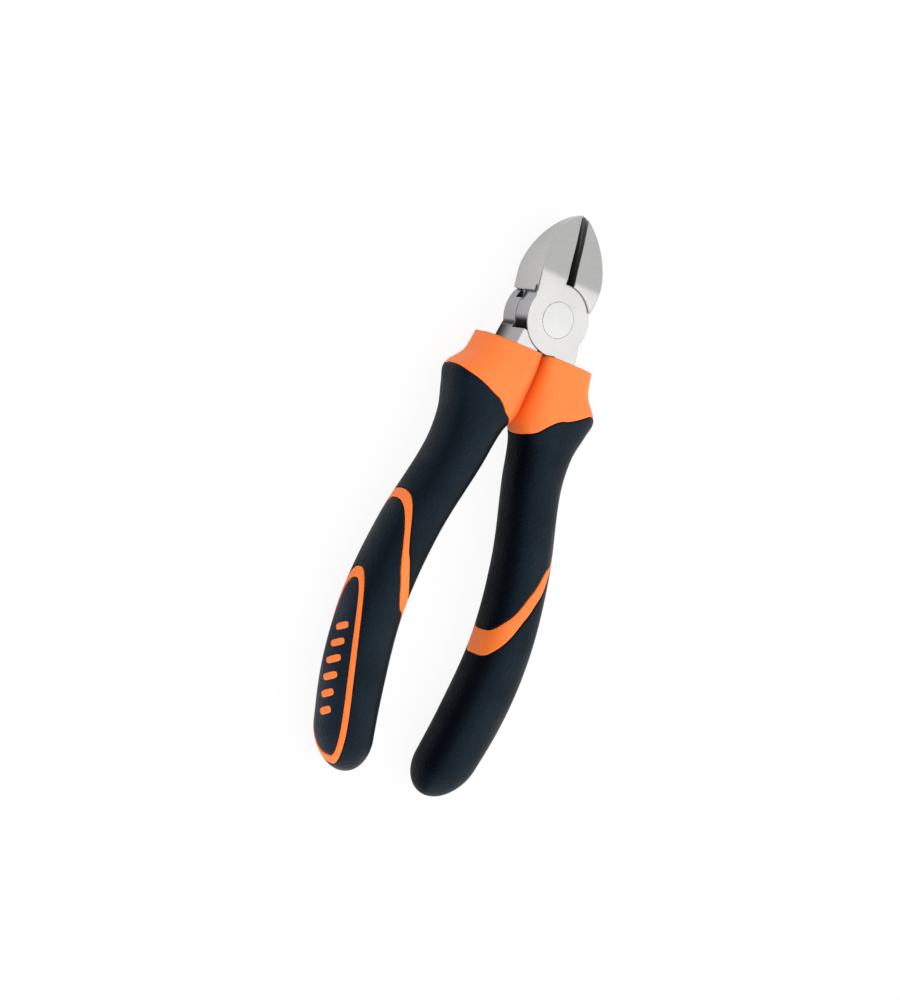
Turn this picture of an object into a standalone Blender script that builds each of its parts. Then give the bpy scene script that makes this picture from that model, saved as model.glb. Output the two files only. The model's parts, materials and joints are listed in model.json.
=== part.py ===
# Diagonal cutter with two-colour moulded grips, jaws closed.
# Sizes are in millimetres and become metres when a mesh is made.
# Tool frame: pivot axis along Z at the origin, +Y to the jaw tips, +X to the right handle.
import math

import bpy
import numpy as np

MM = 0.001

# Driving sizes of the head
OVERALL_LENGTH = 160.0
JAW_REACH = 29.25
HEAD_WIDTH = 19.8
JOINT_THICKNESS = 12.0
BOSS_RADIUS = 9.75
TIP_THICKNESS = 3.0
TIP_WIDTH = 2.0
GROOVE_WIDTH = 2.5
EDGE_CHAMFER = 0.7
RIVET_HEAD_RADIUS = 4.85
RIVET_SHANK_RADIUS = 3.4
RIVET_HEAD_RIM = 0.7
RIVET_PROUD = 0.06

# Driving sizes of the handles
GRIP_WIDTH = 16.6
GRIP_THICKNESS = 16.6
GUARD_WIDTH = 23.05
COLLAR_WIDTH = 17.2
COLLAR_THICKNESS = 15.4
COLLAR_RISE = 0.2
COLLAR_TILT = 0.5
MOUTH_CHAMFER = 0.4
HANDLE_BOW = 21.2
SKIN_THICKNESS = 1.6
TANG_WIDTH = 7.2
TANG_END_WIDTH = 5.6
BAND_WIDTH = 7.0
MEDALLION_LENGTH = 53.0
MEDALLION_HALF_ANGLE = math.radians(56)
MEDALLION_BACK_ANGLE = math.radians(47)
MEDALLION_TILT = math.radians(-12)
MEDALLION_TWIST = math.radians(14)
MEDALLION_RIM = 1.9

# Clearances
CUTTING_GAP = 0.1
LAP_GAP = 0.1
SHOULDER_GAP = 0.3
RIVET_GAP = 0.08
COLLAR_GAP = 0.4
COLLAR_SPLIT = 0.4
TANG_GAP = 0.3
SKIN_GAP = 0.25
SEAM_GAP = 0.25

# Positions that follow from the sizes
HALF_THICKNESS = JOINT_THICKNESS / 2
LEDGE_Y = 0.49 * BOSS_RADIUS
FACET_Y = 1.17 * BOSS_RADIUS
WIDEST_Y = 0.46 * JAW_REACH
MOUTH_Y = -(BOSS_RADIUS + COLLAR_GAP)
END_Y = JAW_REACH - OVERALL_LENGTH
GRIP_LENGTH = MOUTH_Y - END_Y
CAP_RADIUS = 0.62 * GRIP_WIDTH
CAP_Y = END_Y + CAP_RADIUS
BODY_LENGTH = MOUTH_Y - CAP_Y
FULL_LENGTH = BODY_LENGTH + CAP_RADIUS * math.pi / 2
CORE_DEPTH = SKIN_THICKNESS + SKIN_GAP
TANG_X = 0.67 * BOSS_RADIUS

# Mesh fineness
COLUMNS = 28
SEGMENTS = 56
MEDALLION_POINTS = 36


def clear_scene():
    for obj in list(bpy.data.objects):
        bpy.data.objects.remove(obj, do_unlink=True)


def smooth(t):
    t = min(max(t, 0.0), 1.0)
    return t * t * (3 - 2 * t)


def curve(stations, x):
    """Smooth curve through a few (position, value) stations."""
    xs = [p[0] for p in stations]
    ys = [p[1] for p in stations]
    last = len(xs) - 1
    x = min(max(x, xs[0]), xs[last])
    i = 0
    while i < last - 1 and x > xs[i + 1]:
        i += 1

    def slope(k):
        a = max(k - 1, 0)
        b = min(k + 1, last)
        return (ys[b] - ys[a]) / (xs[b] - xs[a])

    width = xs[i + 1] - xs[i]
    t = (x - xs[i]) / width
    start = (2 * t**3 - 3 * t**2 + 1) * ys[i] + (t**3 - 2 * t**2 + t) * width * slope(i)
    finish = (3 * t**2 - 2 * t**3) * ys[i + 1] + (t**3 - t**2) * width * slope(i + 1)
    return start + finish


# Mesh helpers
def new_object(name, points, faces):
    mesh = bpy.data.meshes.new(name)
    mesh.from_pydata([(p[0] * MM, p[1] * MM, p[2] * MM) for p in points], [], faces)
    mesh.update()
    obj = bpy.data.objects.new(name, mesh)
    bpy.context.scene.collection.objects.link(obj)
    return obj


def skinned(name, rings, ends):
    """Closed body through rings of points. ends is 'poles', 'flat' or 'loop'."""
    count = len(rings[0])
    points = [p for ring in rings for p in ring]
    faces = []
    pairs = len(rings) if ends == "loop" else len(rings) - 1
    for i in range(pairs):
        a = i * count
        b = ((i + 1) % len(rings)) * count
        for j in range(count):
            k = (j + 1) % count
            faces.append((a + j, a + k, b + k, b + j))
    top = (len(rings) - 1) * count
    if ends == "flat":
        faces.append(tuple(range(count - 1, -1, -1)))
        faces.append(tuple(range(top, top + count)))
    if ends == "poles":
        first = len(points)
        points.append(tuple(np.mean(rings[0], axis=0)))
        points.append(tuple(np.mean(rings[-1], axis=0)))
        for j in range(count):
            k = (j + 1) % count
            faces.append((first, k, j))
            faces.append((first + 1, top + j, top + k))
    return outward(new_object(name, points, faces))


def outward(obj):
    """Turns the faces round when the body is inside out."""
    mesh = obj.data
    mesh.calc_loop_triangles()
    points = np.array([v.co[:] for v in mesh.vertices])
    corners = points[np.array([t.vertices[:] for t in mesh.loop_triangles])]
    if np.linalg.det(corners).sum() < 0:
        mesh.flip_normals()
    return obj


def combine(base, tool, operation):
    """Boolean of two bodies. The tool is used up."""
    modifier = base.modifiers.new(operation, "BOOLEAN")
    modifier.operation = operation
    modifier.solver = "EXACT"
    modifier.object = tool
    bpy.context.view_layer.update()
    graph = bpy.context.evaluated_depsgraph_get()
    result = bpy.data.meshes.new_from_object(base.evaluated_get(graph))
    base.modifiers.clear()
    base.data = result
    bpy.data.objects.remove(tool, do_unlink=True)
    return base


def turned(name, profile, segments):
    """Body of revolution about Z from (radius, height) points between two flat ends."""
    rings = []
    for radius, height in profile:
        ring = []
        for j in range(segments):
            angle = 2 * math.pi * j / segments
            ring.append((radius * math.cos(angle), radius * math.sin(angle), height))
        rings.append(ring)
    return skinned(name, rings, "flat")


def prism(name, outline, low, high):
    lower = [(x, y, low) for x, y in outline]
    upper = [(x, y, high) for x, y in outline]
    return skinned(name, [lower, upper], "flat")


# The jaw
def jaw_half_width(y):
    if y <= WIDEST_Y:
        drop = (WIDEST_Y - y) / (WIDEST_Y - LEDGE_Y)
        return HEAD_WIDTH / 2 * (1 - 0.07 * drop**2)
    along = (y - WIDEST_Y) / (JAW_REACH - WIDEST_Y)
    return max(HEAD_WIDTH / 2 * (1 - along**1.8) ** 0.7, TIP_WIDTH / 2)


def jaw_half_thickness(y):
    along = max(0.0, (y - FACET_Y) / (JAW_REACH - FACET_Y))
    return HALF_THICKNESS + (TIP_THICKNESS / 2 - HALF_THICKNESS) * along**0.92


def jaw():
    """Left jaw, full thickness, with the cutting edge on the middle plane."""
    edge = CUTTING_GAP / 2
    rings = []
    parts = 16
    for i in range(parts + 1):
        along = math.sin(math.pi / 2 * i / parts)
        y = LEDGE_Y + (JAW_REACH - LEDGE_Y) * along
        width = jaw_half_width(y)
        height = jaw_half_thickness(y)
        groove = min(GROOVE_WIDTH / 2, 0.55 * width)
        chamfer = min(EDGE_CHAMFER, 0.3 * width)
        rings.append(
            [
                (-edge, y, 0.0),
                (-groove, y, height),
                (-width + chamfer, y, height),
                (-width, y, height - chamfer),
                (-width, y, chamfer - height),
                (-width + chamfer, y, -height),
                (-groove, y, -height),
            ]
        )
    return skinned("jaw", rings, "flat")


# The tang, hidden in the grip below the collar
def tang_ring(y, grow):
    """Rounded section of the tang, grown all round for the socket in the grip."""
    below = (MOUTH_Y - y) / GRIP_LENGTH
    settle = smooth(below / 0.14)
    taper = smooth(below / 0.9)
    centre = TANG_X + (grip_centre(y) - TANG_X) * settle
    slim = 0.9 * TANG_WIDTH + (TANG_END_WIDTH - 0.9 * TANG_WIDTH) * taper
    width = (TANG_WIDTH + (slim - TANG_WIDTH) * settle) / 2
    height = HALF_THICKNESS + (0.55 * slim - HALF_THICKNESS) * settle
    return oval(centre, y, width + grow, height + grow, 5.0)


def tang_rows():
    """Heights of the tang's sections from its end up to the collar's mouth."""
    end = MOUTH_Y - 0.87 * GRIP_LENGTH
    return [end + (MOUTH_Y - end) * math.sin(math.pi / 2 * i / 10) for i in range(11)]


def tang():
    rings = [tang_ring(y, 0.0) for y in tang_rows()[:-1]]
    rings.append(tang_ring(MOUTH_Y, 0.0))
    rings.append(tang_ring(MOUTH_Y + 1.6, -0.4))
    return skinned("tang", rings, "flat")


# One forged half: left jaw, lap disc in the upper layer, right tang
def half_body(name):
    body = jaw()
    disc = [
        (BOSS_RADIUS, LAP_GAP / 2),
        (BOSS_RADIUS, HALF_THICKNESS - 0.3),
        (BOSS_RADIUS - 0.3, HALF_THICKNESS),
    ]
    body = combine(body, turned("disc", disc, SEGMENTS), "UNION")
    inner = TANG_X - TANG_WIDTH / 2
    outer = TANG_X + TANG_WIDTH / 2
    low = MOUTH_Y + COLLAR_GAP / 2
    own_layer = [
        (inner, low),
        (outer, low),
        (0.925 * BOSS_RADIUS, 0.45 * low),
        (inner, 0.4 * low),
    ]
    other_layer = [
        (inner, low),
        (outer, low),
        (0.948 * BOSS_RADIUS, 0.565 * low),
        (inner, 0.62 * low),
    ]
    inset = 0.02
    upper = prism("upper", own_layer, LAP_GAP / 2, HALF_THICKNESS - inset)
    lower = prism("lower", other_layer, inset - HALF_THICKNESS, LAP_GAP)
    neck = combine(tang(), upper, "UNION")
    neck = combine(neck, lower, "UNION")
    body = combine(body, neck, "UNION")
    clear = [
        (BOSS_RADIUS + SHOULDER_GAP, -JOINT_THICKNESS),
        (BOSS_RADIUS + SHOULDER_GAP, LAP_GAP / 2),
    ]
    body = combine(body, turned("clear", clear, SEGMENTS), "DIFFERENCE")
    hole = rivet_profile(RIVET_GAP, HALF_THICKNESS)
    body = combine(body, turned("hole", hole, SEGMENTS), "DIFFERENCE")
    body.name = name
    body.data.name = name
    return body


# The rivet: a shank between two flush countersunk heads
def rivet_profile(grow, reach):
    rim = reach - RIVET_HEAD_RIM
    shank = RIVET_SHANK_RADIUS + grow
    head = RIVET_HEAD_RADIUS + grow
    neck = rim - (head - shank)
    half = [(shank, neck), (head, rim), (head, reach + grow)]
    return [(r, -z) for r, z in reversed(half)] + half


def rivet():
    reach = HALF_THICKNESS + RIVET_PROUD
    profile = rivet_profile(0.0, HALF_THICKNESS)
    profile[0] = (RIVET_HEAD_RADIUS, -reach)
    profile[-1] = (RIVET_HEAD_RADIUS, reach)
    return turned("pivot_rivet", profile, SEGMENTS)


# The grip's outer surface
def grip_edges(y):
    """Inner and outer edge of the grip in plan at a height."""
    along = min(max((MOUTH_Y - y) / GRIP_LENGTH, 0.0), 1.0)
    near = COLLAR_SPLIT / 2
    half = GRIP_WIDTH / 2
    inner = [
        (0.0, near),
        (0.09, near),
        (0.145, 2.2 * near),
        (0.19, 0.12 * HANDLE_BOW),
        (0.275, 0.64 * HANDLE_BOW - 0.96 * half),
        (0.45, 0.88 * HANDLE_BOW - 0.93 * half),
        (0.63, HANDLE_BOW - 0.97 * half),
        (0.8, 0.925 * HANDLE_BOW - 1.02 * half),
        (1.0, 0.68 * HANDLE_BOW - 0.9 * half),
    ]
    outer = [
        (0.0, near + COLLAR_WIDTH),
        (0.045, near + 0.37 * COLLAR_WIDTH + 0.53 * GUARD_WIDTH),
        (0.09, near + GUARD_WIDTH),
        (0.13, near + 0.965 * GUARD_WIDTH),
        (0.19, 0.575 * HANDLE_BOW + 1.02 * half),
        (0.275, 0.635 * HANDLE_BOW + 0.935 * half),
        (0.45, 0.88 * HANDLE_BOW + 0.97 * half),
        (0.63, HANDLE_BOW + 0.985 * half),
        (0.8, 0.925 * HANDLE_BOW + half),
        (1.0, 0.68 * HANDLE_BOW + 0.855 * half),
    ]
    return curve(inner, along), curve(outer, along)


def grip_centre(y):
    return sum(grip_edges(y)) / 2


def grip_half_width(y):
    inner, outer = grip_edges(y)
    return (outer - inner) / 2


def grip_half_thickness(y):
    along = min(max((MOUTH_Y - y) / GRIP_LENGTH, 0.0), 1.0)
    half = GRIP_THICKNESS / 2
    stations = [
        (0.0, COLLAR_THICKNESS / 2),
        (0.09, half),
        (0.2, half),
        (0.4, 0.975 * half),
        (0.7, half),
        (1.0, half),
    ]
    return curve(stations, along)


def roundness(y, angle):
    """Squareness of the section: square where the two collars meet, rounder down the handle."""
    along = (MOUTH_Y - y) / GRIP_LENGTH
    inner = smooth(0.3 - 1.4 * math.cos(angle))
    return 3.1 - 0.8 * smooth(along / 0.25) + 1.0 * inner * (1 - smooth(along / 0.14))


def power(value, exponent):
    return math.copysign(abs(value) ** exponent, value)


def oval(centre, y, width, height, exponent):
    ring = []
    for j in range(COLUMNS):
        angle = 2 * math.pi * j / COLUMNS
        x = centre + width * power(math.cos(angle), 2 / exponent)
        ring.append((x, y, height * power(math.sin(angle), 2 / exponent)))
    return ring


def grip_point(along, angle, depth):
    """Point at a distance along the grip and an angle round it, depth below the skin.

    Angle 0 is the outer side of the handle, a quarter turn the front, a half turn the inner side.
    """
    turn = min(max((along - BODY_LENGTH) / CAP_RADIUS, 0.0), math.pi / 2)
    y = MOUTH_Y - along if along < BODY_LENGTH else CAP_Y - (CAP_RADIUS - depth) * math.sin(turn)
    shrink = math.cos(turn)
    width = (grip_half_width(y) - depth) * shrink
    height = (grip_half_thickness(y) - depth) * shrink
    exponent = 2 / roundness(y, angle)
    x = grip_centre(y) + width * power(math.cos(angle), exponent)
    return (x, y, height * power(math.sin(angle), exponent))


def grip_ring(place, depth):
    """Ring of points round the grip. place gives the distance along at each angle."""
    ring = []
    for j in range(COLUMNS):
        angle = 2 * math.pi * j / COLUMNS
        ring.append(grip_point(place(angle), angle, depth))
    return ring


# Seams between the two colours, as distances along the grip at each angle
def wave(high, low, angle, sag, swell):
    """From high on the outer side to low on the inner side, the same front and back."""
    shape = (math.cos(angle) - swell * math.cos(3 * angle)) / (1 - swell)
    return (high + low) / 2 - (low - high) / 2 * shape + sag * math.sin(angle) ** 2


def lobe(angle, centre, width):
    """1 at a centre angle in degrees, falling away on both sides of it."""
    away = (math.degrees(angle) - centre + 180) % 360 - 180
    return math.exp(-((away / width) ** 2))


def mouth(angle):
    """Top edge of the collar, leaning a little from front to back."""
    return -COLLAR_RISE - COLLAR_TILT * math.sin(angle) * (0.6 + 0.4 * math.cos(angle))


def collar_seam(angle):
    """Lower edge of the collar: a step on the front, a straighter slope on the back."""
    line = wave(0.088 * GRIP_LENGTH, 0.178 * GRIP_LENGTH, angle, -0.011 * GRIP_LENGTH, 0.06)
    front = 0.007 * lobe(angle, 120, 24) - 0.01 * lobe(angle, 62, 30)
    back = 0.0091 * lobe(angle, 252, 15) + 0.0062 * lobe(angle, 315, 28)
    return line + GRIP_LENGTH * (front + back)


def band_top(angle):
    line = wave(0.38 * GRIP_LENGTH, 0.61 * GRIP_LENGTH, angle, 0.14 * BAND_WIDTH, 0.08)
    front = 0.018 * lobe(angle, 50, 12) - 0.0079 * lobe(angle, 131, 18)
    back = 0.0115 * lobe(angle, 277, 30)
    return line + GRIP_LENGTH * (front + back)


def band_low(angle):
    high = 0.38 * GRIP_LENGTH + 0.42 * BAND_WIDTH
    low = 0.61 * GRIP_LENGTH + BAND_WIDTH
    line = wave(high, low, angle, 0.42 * BAND_WIDTH, 0.08)
    front = 0.0145 * lobe(angle, 62, 12) - 0.006 * lobe(angle, 128, 18)
    back = -0.021 * lobe(angle, 224, 16)
    return line + GRIP_LENGTH * (front + back)


def shifted(seam, step):
    """The seam moved by a step square to itself."""

    def moved(angle):
        rise = (seam(angle + 0.02) - seam(angle - 0.02)) / 0.04
        return seam(angle) + step * math.hypot(1.0, rise / (0.4 * GRIP_WIDTH))

    return moved


def between(start, finish, parts):
    """Places at even steps from one seam to the next, both ends included."""
    return [
        lambda angle, t=i / parts: start(angle) + (finish(angle) - start(angle)) * t
        for i in range(parts + 1)
    ]


def fixed(along):
    return lambda angle: along


# Medallion on the outer side of the grip near its end, tilted so that both grips are the same moulding
MEDALLION_END = FULL_LENGTH - 0.47 * CAP_RADIUS
MEDALLION_START = MEDALLION_END - MEDALLION_LENGTH


def medallion_edge(inset, t):
    """Place and angle on the outline, drawn in by an inset. t runs once round from 0 to 1."""
    beta = 2 * math.pi * t - 0.3 * math.sin(4 * math.pi * t)
    start = MEDALLION_START + 1.6 * inset
    finish = MEDALLION_END - 1.7 * inset
    reach = MEDALLION_HALF_ANGLE if math.sin(beta) < 0 else MEDALLION_BACK_ANGLE
    half = reach - inset / (0.52 * GRIP_WIDTH)
    along = start + (finish - start) * ((1 - math.cos(beta)) / 2) ** 0.69
    return along, half * power(math.sin(beta), 0.63)


def medallion_ring(inset, depth, scale):
    middle = MEDALLION_START + 0.6 * MEDALLION_LENGTH
    ring = []
    for j in range(MEDALLION_POINTS):
        along, angle = medallion_edge(inset, j / MEDALLION_POINTS)
        place = middle + (along - middle) * scale
        tilt = MEDALLION_TILT + MEDALLION_TWIST * (0.6 - (place - MEDALLION_START) / MEDALLION_LENGTH)
        ring.append(grip_point(place, tilt + angle * scale, depth))
    return ring


def medallion_plate(name, inset, top, bottom):
    scales = (0.15, 0.42, 0.6, 0.7, 0.8, 0.9, 1.0)
    upper = [medallion_ring(inset, top, s) for s in scales]
    lower = [medallion_ring(inset, bottom, s) for s in reversed(scales)]
    return skinned(name, upper + lower, "poles")


def medallion_rim(name):
    low = CORE_DEPTH + 0.6
    rings = [
        medallion_ring(0.0, 0.0, 1.0),
        medallion_ring(MEDALLION_RIM, 0.0, 1.0),
        medallion_ring(MEDALLION_RIM, low, 1.0),
        medallion_ring(0.0, low, 1.0),
    ]
    return skinned(name, rings, "loop")


# Pieces of one grip
def cap_places(parts):
    span = FULL_LENGTH - BODY_LENGTH
    return [fixed(BODY_LENGTH + span * i / (parts + 0.6)) for i in range(1, parts + 1)]


def grip_core(name):
    """Hard inner sleeve with collar, band and medallion rim standing up to the surface."""
    socket_end = tang_rows()[0] - TANG_GAP
    rings = [tang_ring(socket_end, TANG_GAP)]
    rings += [tang_ring(y, TANG_GAP) for y in tang_rows()]
    rings.append(grip_ring(mouth, MOUTH_CHAMFER))
    start = shifted(mouth, MOUTH_CHAMFER)
    rings += [grip_ring(p, 0.0) for p in between(start, collar_seam, 5)]
    rings += [grip_ring(p, CORE_DEPTH) for p in between(collar_seam, band_top, 7)]
    rings += [grip_ring(p, 0.0) for p in between(band_top, band_low, 2)]
    rings += [grip_ring(p, CORE_DEPTH) for p in between(band_low, fixed(BODY_LENGTH), 6)]
    rings += [grip_ring(p, CORE_DEPTH) for p in cap_places(4)]
    core = skinned(name, rings, "poles")
    return combine(core, medallion_rim("rim"), "UNION")


def upper_skin(name):
    places = between(shifted(collar_seam, SEAM_GAP), shifted(band_top, -SEAM_GAP), 7)
    rings = [grip_ring(p, 0.0) for p in places]
    rings += [grip_ring(p, SKIN_THICKNESS) for p in reversed(places)]
    return skinned(name, rings, "loop")


def lower_skin(name):
    places = between(shifted(band_low, SEAM_GAP), fixed(BODY_LENGTH), 6) + cap_places(4)
    rings = [grip_ring(p, SKIN_THICKNESS) for p in reversed(places)]
    rings += [grip_ring(p, 0.0) for p in places]
    skin = skinned(name, rings, "poles")
    window = medallion_plate("window", -1.5 * SEAM_GAP, -1.5, CORE_DEPTH + 0.5)
    return combine(skin, window, "DIFFERENCE")


def medallion_pad(name):
    return medallion_plate(name, MEDALLION_RIM + SEAM_GAP, 0.15, SKIN_THICKNESS)


# Materials and assembly
def material(name, colour, roughness, metallic):
    made = bpy.data.materials.new(name)
    made.use_nodes = True
    shader = made.node_tree.nodes["Principled BSDF"]
    shader.inputs["Base Color"].default_value = (*colour, 1.0)
    shader.inputs["Roughness"].default_value = roughness
    shader.inputs["Metallic"].default_value = metallic
    return made


def finish(obj, look, parent):
    obj.data.materials.clear()
    obj.data.materials.append(look)
    obj.data.shade_smooth()
    obj.data.set_sharp_from_angle(angle=math.radians(32))
    obj.parent = parent


def twin(obj, name, parent):
    """The same piece on the other half of the tool."""
    copy = bpy.data.objects.new(name, obj.data)
    bpy.context.scene.collection.objects.link(copy)
    copy.parent = parent
    return copy


def empty(name, parent):
    made = bpy.data.objects.new(name, None)
    bpy.context.scene.collection.objects.link(made)
    made.parent = parent
    return made


def main():
    clear_scene()
    steel = material("ground_steel", (0.56, 0.56, 0.55), 0.3, 1.0)
    rivet_steel = material("rivet_steel", (0.66, 0.66, 0.65), 0.24, 1.0)
    orange = material("orange_hard_plastic", (1.0, 0.22, 0.03), 0.42, 0.0)
    black = material("black_soft_plastic", (0.012, 0.015, 0.02), 0.6, 0.0)
    root = empty("tool_root", None)
    front = empty("front_arm", root)
    rear = empty("rear_arm", root)
    rear.rotation_euler = (0.0, math.pi, 0.0)
    pieces = [
        (half_body("front_half"), "rear_half", steel),
        (grip_core("right_grip_core"), "left_grip_core", orange),
        (upper_skin("right_upper_skin"), "left_upper_skin", black),
        (lower_skin("right_lower_skin"), "left_lower_skin", black),
        (medallion_pad("right_medallion"), "left_medallion", black),
    ]
    low = np.full(3, np.inf)
    high = np.full(3, -np.inf)
    for piece, other, look in pieces:
        finish(piece, look, front)
        twin(piece, other, rear)
        points = np.array([v.co[:] for v in piece.data.vertices])
        low = np.minimum(low, points.min(axis=0))
        high = np.maximum(high, points.max(axis=0))
    finish(rivet(), rivet_steel, root)
    # Set the tool down: middle of its length at Y = 0 and lowest point at Z = 0
    root.location = (0.0, -(low[1] + high[1]) / 2, max(-low[2], high[2]))
    bpy.context.view_layer.update()


main()
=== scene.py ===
import json
import math

import bpy
import numpy as np
from mathutils import Euler, Matrix, Vector

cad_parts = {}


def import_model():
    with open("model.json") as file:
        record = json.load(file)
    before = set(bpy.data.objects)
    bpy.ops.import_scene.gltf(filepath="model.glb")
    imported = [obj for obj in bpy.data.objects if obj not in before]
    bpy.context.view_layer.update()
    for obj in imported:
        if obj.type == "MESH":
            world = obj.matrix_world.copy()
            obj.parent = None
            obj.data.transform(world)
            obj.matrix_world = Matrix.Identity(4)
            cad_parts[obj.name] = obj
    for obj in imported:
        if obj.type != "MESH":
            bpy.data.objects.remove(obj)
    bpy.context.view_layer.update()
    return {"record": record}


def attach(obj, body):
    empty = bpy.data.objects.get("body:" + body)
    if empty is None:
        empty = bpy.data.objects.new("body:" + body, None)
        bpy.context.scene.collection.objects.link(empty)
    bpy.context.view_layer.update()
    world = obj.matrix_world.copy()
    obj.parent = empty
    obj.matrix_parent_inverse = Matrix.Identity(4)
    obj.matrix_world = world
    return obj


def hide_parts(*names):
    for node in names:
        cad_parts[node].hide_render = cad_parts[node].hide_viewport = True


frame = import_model()

MM = 0.001
PIVOT = Vector(frame["record"]["behaviour"]["joints"][0]["pos_m"])

# Sizes of the head
OVERALL_LENGTH = 160.0
JAW_REACH = 29.25
HEAD_WIDTH = 19.8
JOINT_THICKNESS = 12.0
BOSS_RADIUS = 9.75
TIP_THICKNESS = 3.0
TIP_WIDTH = 2.0
GROOVE_WIDTH = 2.5
RIVET_HEAD_RADIUS = 4.85
RIVET_SHANK_RADIUS = 3.4
RIVET_HEAD_RIM = 0.7
RIVET_PROUD = 0.06
RIVET_CROWN = 0.04
RELIEF_RADIUS = 1.65
RELIEF_HALF_HEIGHT = 2.0
RELIEF_Z = 1.1

# Shape of the jaws: how far the shoulders draw in, how full and blunt the curve to the tip is
SHOULDER_DRAW = 0.07
TIP_CURVE = 1.8
TIP_BLUNTNESS = 0.7
FACET_CURVE = 0.92
LEDGE_LEAN = 0.07

# Sizes of the handles
GRIP_WIDTH = 16.6
GRIP_THICKNESS = 16.6
GUARD_WIDTH = 23.05
COLLAR_WIDTH = 17.2
COLLAR_THICKNESS = 15.4
COLLAR_RISE = 0.32
COLLAR_TILT = 0.5
HANDLE_BOW = 21.2
SKIN_THICKNESS = 1.6
TANG_WIDTH = 7.2
TANG_END_WIDTH = 5.6
TANG_TOP = 1.6
TANG_SQUARENESS = 5
TANG_SETTLE = 0.14
TANG_TAPER = 0.9
TANG_HEIGHT_RATIO = 0.55
BAND_WIDTH = 7.0
MEDALLION_LENGTH = 53.0
MEDALLION_HALF_ANGLE = math.radians(56)
MEDALLION_BACK_ANGLE = math.radians(47)
MEDALLION_LEFT_BACK_ANGLE = math.radians(69)
MEDALLION_TILT = math.radians(-12)
MEDALLION_TWIST = math.radians(14)
MEDALLION_RIM = 1.9
RIM_CROWN = 0.05
PAD_SINK = 0.12

# Squareness of the grip's section, as the power of a superellipse: at the collar, lost down the
# handle, and added on the side where the two collars meet and at the front corner of that side
COLLAR_SQUARENESS = 3.1
SQUARENESS_LOSS = 0.8
SPLIT_SQUARENESS = 1.0
SPLIT_FRONT_SQUARENESS = 1.4

# Clearances, and the finer gaps that show
CUTTING_GAP = 0.1
LAP_GAP = 0.2
SHOULDER_GAP = 0.08
SHOULDER_RIM = 0.5
GROOVE_SHIFT = 0.45
GROOVE_SHIFT_Y = 12.0
GROOVE_SHIFT_RUN = 11.0
# Painted glint on the dark bevel: its depth below the face, and its fade
LAND_DEPTH = 1.1
LAND_FADE = 0.3
RIVET_GAP = 0.008
COLLAR_GAP = 0.4
COLLAR_SPLIT = 0.4
TANG_GAP = 0.3
SKIN_GAP = 0.25
SEAM_GAP = 0.06

# Fillets
SEAM_FILLET = 0.3
MOUTH_FILLET = 0.14
PAD_FILLET = 0.4
LAP_FILLET = 0.1
LAP_CORNER = 0.2
JAW_CORNER = 1.1
CORNER_FILLET = 0.5
OUTLINE_FILLET = 0.25
TIP_FILLET = 0.5
LEDGE_FILLET = 0.3
EDGE_FILLET = 0.08
FACE_FILLET = 0.55
BOSS_FILLET = 0.16
SINK_FILLET = 0.025
RELIEF_FILLET = 0.4
RIVET_FILLET = 0.035
TANG_TOP_FILLET = 0.2
TANG_END_FILLET = 1.0
FACET_BLEND = 0.05
SHARP_ANGLE = math.radians(42)

# Positions that follow from the sizes
HALF_THICKNESS = JOINT_THICKNESS / 2
LEDGE_Y = 0.49 * BOSS_RADIUS
FACET_Y = 1.17 * BOSS_RADIUS
WIDEST_Y = 0.46 * JAW_REACH
RELIEF_SPOT = (0.9 * BOSS_RADIUS, LEDGE_Y - 0.7)
MOUTH_Y = -(BOSS_RADIUS + COLLAR_GAP)
END_Y = JAW_REACH - OVERALL_LENGTH
GRIP_LENGTH = MOUTH_Y - END_Y
CAP_RADIUS = 0.62 * GRIP_WIDTH
CAP_Y = END_Y + CAP_RADIUS
BODY_LENGTH = MOUTH_Y - CAP_Y
FULL_LENGTH = BODY_LENGTH + CAP_RADIUS * math.pi / 2
CORE_DEPTH = SKIN_THICKNESS + SKIN_GAP
RIM_ROOT = CORE_DEPTH + 0.6
WINDOW_DEPTH = CORE_DEPTH + 0.5
TANG_X = 0.67 * BOSS_RADIUS
TANG_SLIM_WIDTH = 0.9 * TANG_WIDTH
TANG_END_Y = MOUTH_Y - 0.87 * GRIP_LENGTH
RIVET_RIM_Z = HALF_THICKNESS - RIVET_HEAD_RIM
RIVET_NECK_Z = RIVET_RIM_Z - (RIVET_HEAD_RADIUS - RIVET_SHANK_RADIUS)

# Mesh fineness
COLUMNS = 176
FILLET_STEPS = 5
MEDALLION_POINTS = 260
BAR_POINTS = 48
RIVET_POINTS = 144
HEAD_STEP = 0.18
HEAD_SIDE = 12.6
BOW_STEP = 0.5
TANG_STEP = 1.5
CELL_OFFSET = 0.013
PULL_ROUNDS = 4
LONGEST_PULL = 0.12
ANGLES = np.linspace(0, 2 * math.pi, COLUMNS, endpoint=False)


# Curves and powers on arrays
def smooth(t):
    t = np.clip(t, 0.0, 1.0)
    return t * t * (3 - 2 * t)


def rise(value, start, run):
    """0 up to a start, then smoothly to 1 over a run."""
    return smooth((value - start) / run)


def fall(value, end, run):
    """1, then smoothly to 0 over a run that stops at an end."""
    return smooth((end - value) / run)


def power(value, exponent):
    return np.sign(value) * np.abs(value) ** exponent


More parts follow.
